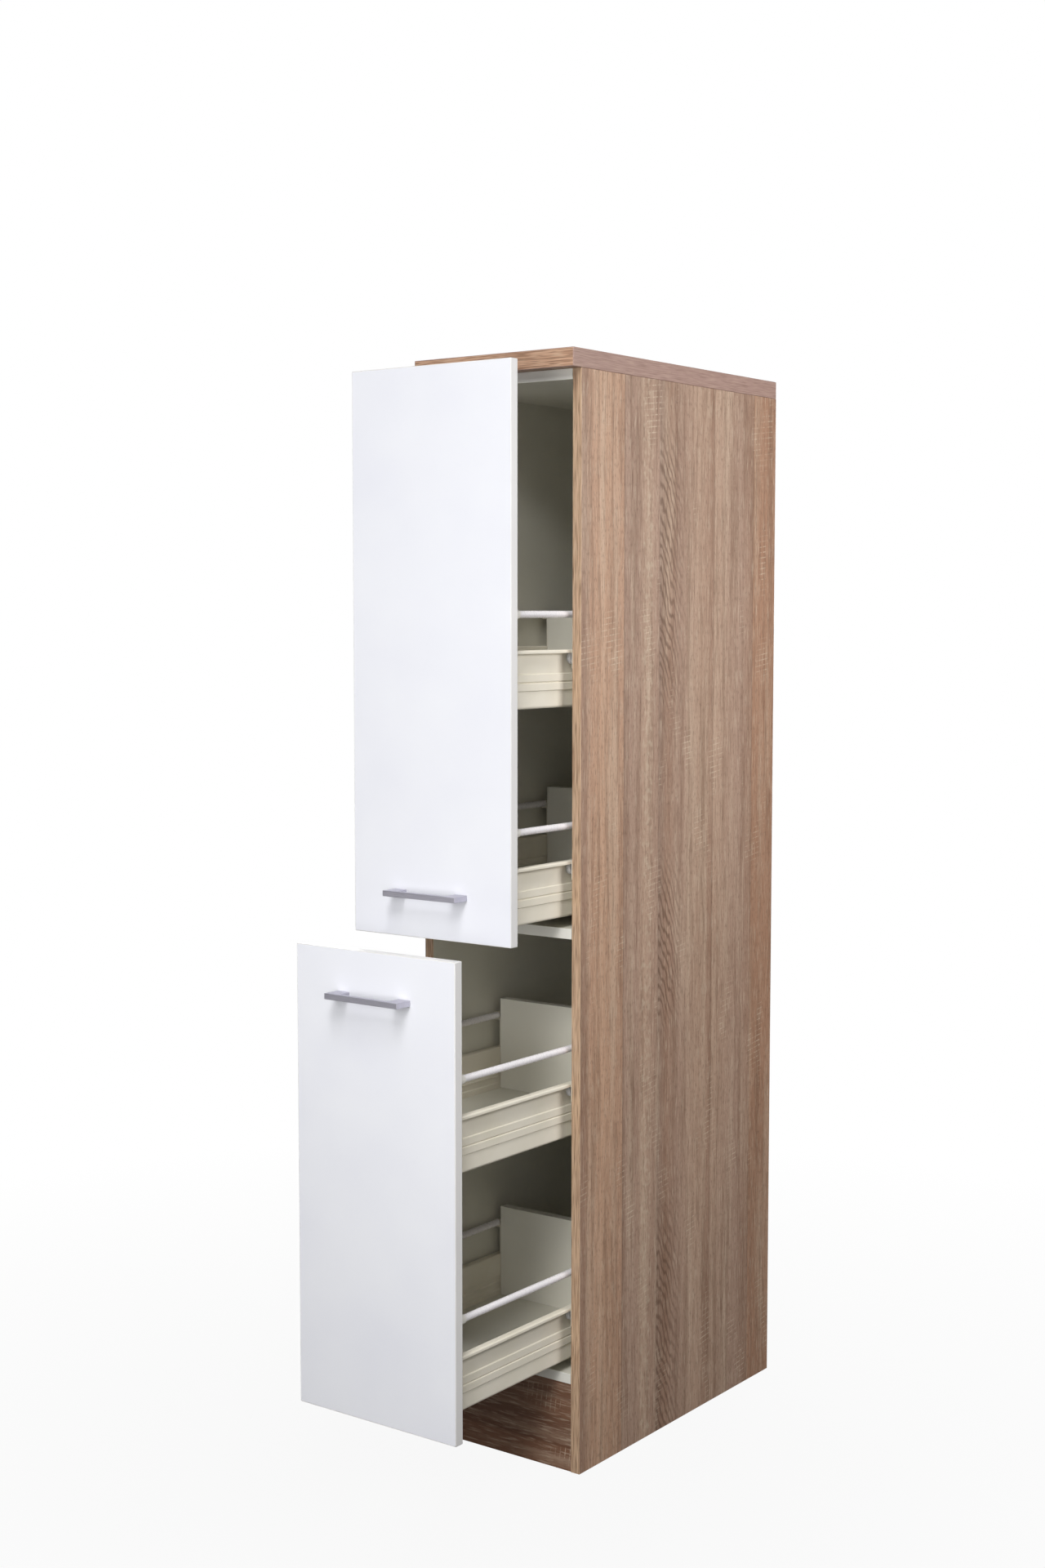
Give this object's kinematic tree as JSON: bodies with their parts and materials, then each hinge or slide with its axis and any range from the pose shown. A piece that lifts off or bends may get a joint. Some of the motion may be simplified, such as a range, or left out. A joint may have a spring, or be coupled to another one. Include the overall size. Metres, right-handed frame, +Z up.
{
  "type": "pull out larder unit",
  "caption": "Narrow tall kitchen cabinet in oak decor whose white fronts pull out on roller runners, each carrying steel-sided trays with round gallery rails.",
  "frame": {"origin": "on the floor, in the middle of the plinth board's underside", "axes": "+Z up, +X to the right seen from the front, +Y towards the wall; the fronts face -Y"},
  "size_m": [0.3, 0.9, 1.7],
  "materials": {
    "oak_decor": "oak decor melamine on chipboard, matt",
    "white_board": "white melamine on chipboard, matt",
    "white_front": "white laminated front board, silk matt",
    "cream_steel": "cream powder coat",
    "white_rail": "white powder coat",
    "satin_metal": "satin",
    "nylon": "moulded, satin"
  },
  "bodies": {
    "carcass": {"side_panel_left": "oak_decor", "side_panel_right": "oak_decor", "top_board": "oak_decor", "top_panel": "white_board", "middle_shelf": "white_board", "bottom_panel": "white_board", "back_panel": "white_board", "plinth_board": "oak_decor", "runner_1_left": "cream_steel", "runner_1_right": "cream_steel", "runner_2_left": "cream_steel", "runner_2_right": "cream_steel", "runner_3_left": "cream_steel", "runner_3_right": "cream_steel", "runner_4_left": "cream_steel", "runner_4_right": "cream_steel"},
    "upper_pullout": {"upper_front": "white_front", "upper_handle": "satin_metal", "tray_1_side_left": "cream_steel", "tray_1_side_right": "cream_steel", "tray_1_bottom": "white_board", "tray_1_back": "white_board", "tray_1_rail_left": "white_rail", "tray_1_rail_right": "white_rail", "tray_2_side_left": "cream_steel", "tray_2_side_right": "cream_steel", "tray_2_bottom": "white_board", "tray_2_back": "white_board", "tray_2_rail_left": "white_rail", "tray_2_rail_right": "white_rail"},
    "lower_pullout": {"lower_front": "white_front", "lower_handle": "satin_metal", "tray_3_side_left": "cream_steel", "tray_3_side_right": "cream_steel", "tray_3_bottom": "white_board", "tray_3_back": "white_board", "tray_3_rail_left": "white_rail", "tray_3_rail_right": "white_rail", "tray_4_side_left": "cream_steel", "tray_4_side_right": "cream_steel", "tray_4_bottom": "white_board", "tray_4_back": "white_board", "tray_4_rail_left": "white_rail", "tray_4_rail_right": "white_rail"},
    "front_roller_1_left": {"runner_1_roller_left": "nylon"},
    "front_roller_1_right": {"runner_1_roller_right": "nylon"},
    "front_roller_2_left": {"runner_2_roller_left": "nylon"},
    "front_roller_2_right": {"runner_2_roller_right": "nylon"},
    "front_roller_3_left": {"runner_3_roller_left": "nylon"},
    "front_roller_3_right": {"runner_3_roller_right": "nylon"},
    "front_roller_4_left": {"runner_4_roller_left": "nylon"},
    "front_roller_4_right": {"runner_4_roller_right": "nylon"},
    "rear_roller_1_left": {"tray_1_rear_roller_left": "nylon"},
    "rear_roller_1_right": {"tray_1_rear_roller_right": "nylon"},
    "rear_roller_2_left": {"tray_2_rear_roller_left": "nylon"},
    "rear_roller_2_right": {"tray_2_rear_roller_right": "nylon"},
    "rear_roller_3_left": {"tray_3_rear_roller_left": "nylon"},
    "rear_roller_3_right": {"tray_3_rear_roller_right": "nylon"},
    "rear_roller_4_left": {"tray_4_rear_roller_left": "nylon"},
    "rear_roller_4_right": {"tray_4_rear_roller_right": "nylon"}
  },
  "joints": [
    {"name": "upper_slide", "type": "slide", "parent": "carcass", "child": "upper_pullout", "axis": [0, -1, 0], "range_m": [-0.152, 0.193]},
    {"name": "lower_slide", "type": "slide", "parent": "carcass", "child": "lower_pullout", "axis": [0, -1, 0], "range_m": [-0.282, 0.063]},
    {"name": "front_roller_1_left_spin", "type": "hinge", "parent": "carcass", "child": "front_roller_1_left", "pos_m": [-0.12565, 0.002, 1.2472], "axis": [1, 0, 0], "continuous": true},
    {"name": "front_roller_1_right_spin", "type": "hinge", "parent": "carcass", "child": "front_roller_1_right", "pos_m": [0.12565, 0.002, 1.2472], "axis": [1, 0, 0], "continuous": true},
    {"name": "front_roller_2_left_spin", "type": "hinge", "parent": "carcass", "child": "front_roller_2_left", "pos_m": [-0.12565, 0.002, 0.9312], "axis": [1, 0, 0], "continuous": true},
    {"name": "front_roller_2_right_spin", "type": "hinge", "parent": "carcass", "child": "front_roller_2_right", "pos_m": [0.12565, 0.002, 0.9312], "axis": [1, 0, 0], "continuous": true},
    {"name": "front_roller_3_left_spin", "type": "hinge", "parent": "carcass", "child": "front_roller_3_left", "pos_m": [-0.12565, 0.002, 0.5922], "axis": [1, 0, 0], "continuous": true},
    {"name": "front_roller_3_right_spin", "type": "hinge", "parent": "carcass", "child": "front_roller_3_right", "pos_m": [0.12565, 0.002, 0.5922], "axis": [1, 0, 0], "continuous": true},
    {"name": "front_roller_4_left_spin", "type": "hinge", "parent": "carcass", "child": "front_roller_4_left", "pos_m": [-0.12565, 0.002, 0.2452], "axis": [1, 0, 0], "continuous": true},
    {"name": "front_roller_4_right_spin", "type": "hinge", "parent": "carcass", "child": "front_roller_4_right", "pos_m": [0.12565, 0.002, 0.2452], "axis": [1, 0, 0], "continuous": true},
    {"name": "rear_roller_1_left_spin", "type": "hinge", "parent": "upper_pullout", "child": "rear_roller_1_left", "pos_m": [-0.12565, 0.281, 1.2433], "axis": [1, 0, 0], "continuous": true},
    {"name": "rear_roller_1_right_spin", "type": "hinge", "parent": "upper_pullout", "child": "rear_roller_1_right", "pos_m": [0.12565, 0.281, 1.2433], "axis": [1, 0, 0], "continuous": true},
    {"name": "rear_roller_2_left_spin", "type": "hinge", "parent": "upper_pullout", "child": "rear_roller_2_left", "pos_m": [-0.12565, 0.281, 0.9273], "axis": [1, 0, 0], "continuous": true},
    {"name": "rear_roller_2_right_spin", "type": "hinge", "parent": "upper_pullout", "child": "rear_roller_2_right", "pos_m": [0.12565, 0.281, 0.9273], "axis": [1, 0, 0], "continuous": true},
    {"name": "rear_roller_3_left_spin", "type": "hinge", "parent": "lower_pullout", "child": "rear_roller_3_left", "pos_m": [-0.12565, 0.151, 0.5883], "axis": [1, 0, 0], "continuous": true},
    {"name": "rear_roller_3_right_spin", "type": "hinge", "parent": "lower_pullout", "child": "rear_roller_3_right", "pos_m": [0.12565, 0.151, 0.5883], "axis": [1, 0, 0], "continuous": true},
    {"name": "rear_roller_4_left_spin", "type": "hinge", "parent": "lower_pullout", "child": "rear_roller_4_left", "pos_m": [-0.12565, 0.151, 0.2413], "axis": [1, 0, 0], "continuous": true},
    {"name": "rear_roller_4_right_spin", "type": "hinge", "parent": "lower_pullout", "child": "rear_roller_4_right", "pos_m": [0.12565, 0.151, 0.2413], "axis": [1, 0, 0], "continuous": true}
  ],
  "couplings": [
    {"joint": "front_roller_1_left_spin", "follows": "upper_slide", "rad_per_m": 100},
    {"joint": "front_roller_1_right_spin", "follows": "upper_slide", "rad_per_m": 100},
    {"joint": "front_roller_2_left_spin", "follows": "upper_slide", "rad_per_m": 100},
    {"joint": "front_roller_2_right_spin", "follows": "upper_slide", "rad_per_m": 100},
    {"joint": "rear_roller_1_left_spin", "follows": "upper_slide", "rad_per_m": 125},
    {"joint": "rear_roller_1_right_spin", "follows": "upper_slide", "rad_per_m": 125},
    {"joint": "rear_roller_2_left_spin", "follows": "upper_slide", "rad_per_m": 125},
    {"joint": "rear_roller_2_right_spin", "follows": "upper_slide", "rad_per_m": 125},
    {"joint": "front_roller_3_left_spin", "follows": "lower_slide", "rad_per_m": 100},
    {"joint": "front_roller_3_right_spin", "follows": "lower_slide", "rad_per_m": 100},
    {"joint": "front_roller_4_left_spin", "follows": "lower_slide", "rad_per_m": 100},
    {"joint": "front_roller_4_right_spin", "follows": "lower_slide", "rad_per_m": 100},
    {"joint": "rear_roller_3_left_spin", "follows": "lower_slide", "rad_per_m": 125},
    {"joint": "rear_roller_3_right_spin", "follows": "lower_slide", "rad_per_m": 125},
    {"joint": "rear_roller_4_left_spin", "follows": "lower_slide", "rad_per_m": 125},
    {"joint": "rear_roller_4_right_spin", "follows": "lower_slide", "rad_per_m": 125}
  ]
}
